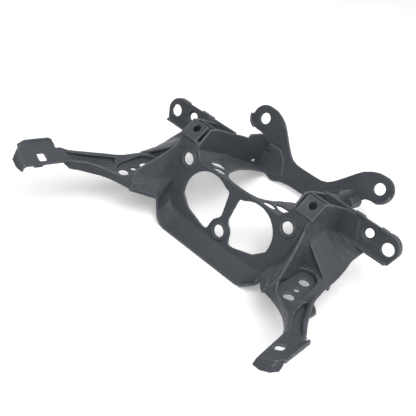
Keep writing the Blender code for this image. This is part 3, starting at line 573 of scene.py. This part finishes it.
def plastic_material(finish):
    """Matte glass-filled black plastic, faintly blue, with grain, flow marks, pale edges that are partly
    rubbed wear and partly painted highlight, and painted shade in inner corners.
    """
    material = bpy.data.materials.new("moulded_black_plastic")
    material.use_nodes = True
    tree = material.node_tree
    tree.nodes.clear()
    output = tree.nodes.new("ShaderNodeOutputMaterial")
    output.location = (900, 0)
    shader = tree.nodes.new("ShaderNodeBsdfPrincipled")
    shader.location = (600, 0)
    shader.inputs["IOR"].default_value = REFRACTION
    shader.inputs["Specular IOR Level"].default_value = SHEEN
    tree.links.new(shader.outputs["BSDF"], output.inputs["Surface"])
    grain = group_node(tree, grain_group(), (-700, 0))
    grain.inputs["Grain Scale"].default_value = 1.0 / finish.grain
    grain.inputs["Flow Scale"].default_value = 1.0 / finish.flow
    wear_light_and_shade = group_node(tree, edge_group(), (-700, -300))
    flow = tree.nodes.new("ShaderNodeMix")
    flow.data_type = "RGBA"
    flow.location = (-300, 150)
    flow.inputs["A"].default_value = shaded(finish.plastic, 1.0 - FLOW_CONTRAST)
    flow.inputs["B"].default_value = shaded(finish.plastic, 1.0 + FLOW_CONTRAST)
    tree.links.new(grain.outputs["Shade"], flow.inputs["Factor"])
    # Painted shade: inner corners darkened towards the shade colour
    corner_shaded = tree.nodes.new("ShaderNodeMix")
    corner_shaded.data_type = "RGBA"
    corner_shaded.location = (-150, 150)
    corner_shaded.inputs["B"].default_value = finish.painted_corner_shade
    tree.links.new(wear_light_and_shade.outputs["Corner Shade"], corner_shaded.inputs["Factor"])
    tree.links.new(flow.outputs["Result"], corner_shaded.inputs["A"])
    # Pale edges: rubbed wear together with a painted highlight
    colour = tree.nodes.new("ShaderNodeMix")
    colour.data_type = "RGBA"
    colour.location = (0, 150)
    colour.inputs["B"].default_value = finish.scuff_and_highlight
    tree.links.new(wear_light_and_shade.outputs["Mask"], colour.inputs["Factor"])
    tree.links.new(corner_shaded.outputs["Result"], colour.inputs["A"])
    tree.links.new(colour.outputs["Result"], shader.inputs["Base Color"])
    smoothest = finish.roughness - ROUGHNESS_SPREAD
    roughest = finish.roughness + ROUGHNESS_SPREAD
    rough = spread(tree, grain.outputs["Gloss"], 0.3, 0.7, smoothest, roughest, (0, -150))
    tree.links.new(rough, shader.inputs["Roughness"])
    bump = tree.nodes.new("ShaderNodeBump")
    bump.location = (300, -250)
    bump.inputs["Distance"].default_value = finish.grain_depth
    bump.inputs["Strength"].default_value = GRAIN_STRENGTH
    tree.links.new(grain.outputs["Height"], bump.inputs["Height"])
    tree.links.new(bump.outputs["Normal"], shader.inputs["Normal"])
    return material


def hand_over(obj, material):
    """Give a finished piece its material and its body."""
    obj.data.materials.clear()
    obj.data.materials.append(material)
    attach(obj, BODY)


class STAY_OT_moulding(bpy.types.Operator):
    """Make the moulded stay: one soft-edged surface with its plastic finish"""

    bl_idname = "stay.moulding"
    bl_label = "Moulded stay"

    def execute(self, context):
        stay = merged_copy(NODE, "moulded_stay")
        cut(stay, both_sides("recesses", [pin_seat(), box("slot_in_wall", SLOT_IN_WALL, SLOT_IN_WALL_SIZE)]))
        details = [shoulder(), gusset_step(), hook_rim(), arch_panel(), tab_collar()]
        details += [box("edge_block", centre, size) for centre, size in EDGE_BLOCKS]
        fuse(stay, [both_sides("moulded_details", details)])
        soften(stay, context.scene.stay_surface)
        if not stay.data.polygons:
            raise RuntimeError("the moulded surface came out empty")
        hand_over(stay, plastic_material(context.scene.stay_finish))
        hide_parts(NODE)
        return {"FINISHED"}


def floor_material(stage):
    """Pale floor that looks white to the camera and keeps the stay's shadow."""
    material = bpy.data.materials.new("studio_floor")
    material.use_nodes = True
    tree = material.node_tree
    tree.nodes.clear()
    output = tree.nodes.new("ShaderNodeOutputMaterial")
    diffuse = tree.nodes.new("ShaderNodeBsdfDiffuse")
    diffuse.inputs["Color"].default_value = stage.floor
    glow = tree.nodes.new("ShaderNodeEmission")
    path = tree.nodes.new("ShaderNodeLightPath")
    seen = arithmetic(tree, "MAXIMUM", path.outputs["Is Camera Ray"], path.outputs["Is Glossy Ray"], (0, 0))
    seen = arithmetic(tree, "MAXIMUM", seen, path.outputs["Is Transmission Ray"], (100, 0))
    tree.links.new(arithmetic(tree, "MULTIPLY", seen, stage.floor_glow, (200, 0)), glow.inputs["Strength"])
    both = tree.nodes.new("ShaderNodeAddShader")
    tree.links.new(diffuse.outputs["BSDF"], both.inputs[0])
    tree.links.new(glow.outputs["Emission"], both.inputs[1])
    tree.links.new(both.outputs["Shader"], output.inputs["Surface"])
    return material


def room(stage):
    """Even room light that looks white where the camera or a gloss sees it."""
    world = bpy.data.worlds.new("studio_room")
    bpy.context.scene.world = world
    world.use_nodes = True
    tree = world.node_tree
    tree.nodes.clear()
    output = tree.nodes.new("ShaderNodeOutputWorld")
    background = tree.nodes.new("ShaderNodeBackground")
    background.inputs["Color"].default_value = (1.0, 1.0, 1.0, 1.0)
    path = tree.nodes.new("ShaderNodeLightPath")
    seen = arithmetic(tree, "MAXIMUM", path.outputs["Is Camera Ray"], path.outputs["Is Glossy Ray"], (0, 0))
    seen = arithmetic(tree, "MAXIMUM", seen, path.outputs["Is Transmission Ray"], (100, 0))
    strength = spread(tree, seen, 0.0, 1.0, stage.sky, 1.0, (200, 0))
    tree.links.new(strength, background.inputs["Strength"])
    tree.links.new(background.outputs["Background"], output.inputs["Surface"])


def lamp(name, setting, target, power):
    """Square area lamp that faces a point, from its place beside that point."""
    offset, size = setting
    place = Vector((target.x + offset[0], target.y + offset[1], offset[2]))
    light = bpy.data.lights.new(name, "AREA")
    light.shape = "SQUARE"
    light.size = size
    light.energy = power
    obj = bpy.data.objects.new(name, light)
    direction = target - place
    obj.matrix_world = (Matrix.Translation(place)
                        @ direction.to_track_quat("-Z", "Y").to_matrix().to_4x4())
    bpy.context.scene.collection.objects.link(obj)


class STAY_OT_stage(bpy.types.Operator):
    """Set out the floor, the soft light and the camera"""

    bl_idname = "stay.stage"
    bl_label = "Stage"

    def execute(self, context):
        stage = context.scene.stay_stage
        low, high = CAD_BOX
        middle = (low + high) / 2
        deselect()
        bpy.ops.mesh.primitive_plane_add(
            size=FLOOR_SIZE, location=(middle.x, middle.y, low.z - FLOOR_GAP))
        floor = context.object
        floor.name = "studio_floor"
        floor.data.materials.append(floor_material(stage))
        room(stage)
        lamp("overhead_lamp", OVERHEAD_LAMP, middle, stage.overhead)
        lamp("rear_lamp", REAR_LAMP, middle, stage.rear)
        lamp("front_lamp", FRONT_LAMP, middle, stage.front)
        camera = bpy.data.cameras.new("photo_camera")
        camera.lens = stage.lens
        camera.sensor_width = SENSOR_WIDTH
        camera.clip_start = 0.01
        obj = bpy.data.objects.new("photo_camera", camera)
        obj.matrix_world = (Matrix.Translation(stage.place)
                            @ Matrix.Rotation(stage.azimuth, 4, "Z")
                            @ Matrix.Rotation(math.pi / 2 - stage.elevation, 4, "X")
                            @ Matrix.Rotation(stage.roll, 4, "Z"))
        context.scene.collection.objects.link(obj)
        context.scene.camera = obj
        context.scene.view_settings.view_transform = "Standard"
        return {"FINISHED"}


class STAY_PT_looks(bpy.types.Panel):
    """Panel with the stay's pieces, finish and stage"""

    bl_idname = "STAY_PT_looks"
    bl_label = "Fairing stay"
    bl_space_type = "VIEW_3D"
    bl_region_type = "UI"
    bl_category = "Fairing stay"

    def draw(self, context):
        scene = context.scene
        for settings, operator in ((scene.stay_surface, "stay.moulding"), (scene.stay_stage, "stay.stage")):
            frame_box = self.layout.box()
            for name in settings.__annotations__:
                frame_box.prop(settings, name)
            frame_box.operator(operator)
        finish_box = self.layout.box()
        for name in scene.stay_finish.__annotations__:
            finish_box.prop(scene.stay_finish, name)


CLASSES = (SurfaceSettings, FinishSettings, StageSettings, STAY_OT_moulding, STAY_OT_stage, STAY_PT_looks)


def register():
    """Register the classes and hang their settings on the scene."""
    for cls in CLASSES:
        bpy.utils.register_class(cls)
    bpy.types.Scene.stay_surface = PointerProperty(type=SurfaceSettings)
    bpy.types.Scene.stay_finish = PointerProperty(type=FinishSettings)
    bpy.types.Scene.stay_stage = PointerProperty(type=StageSettings)


def unregister():
    """Take the settings and the classes away again."""
    del bpy.types.Scene.stay_stage
    del bpy.types.Scene.stay_finish
    del bpy.types.Scene.stay_surface
    for cls in reversed(CLASSES):
        bpy.utils.unregister_class(cls)


def main():
    """Build the looks in order."""
    register()
    bpy.ops.stay.moulding()
    bpy.ops.stay.stage()


if __name__ == "__main__":
    main()
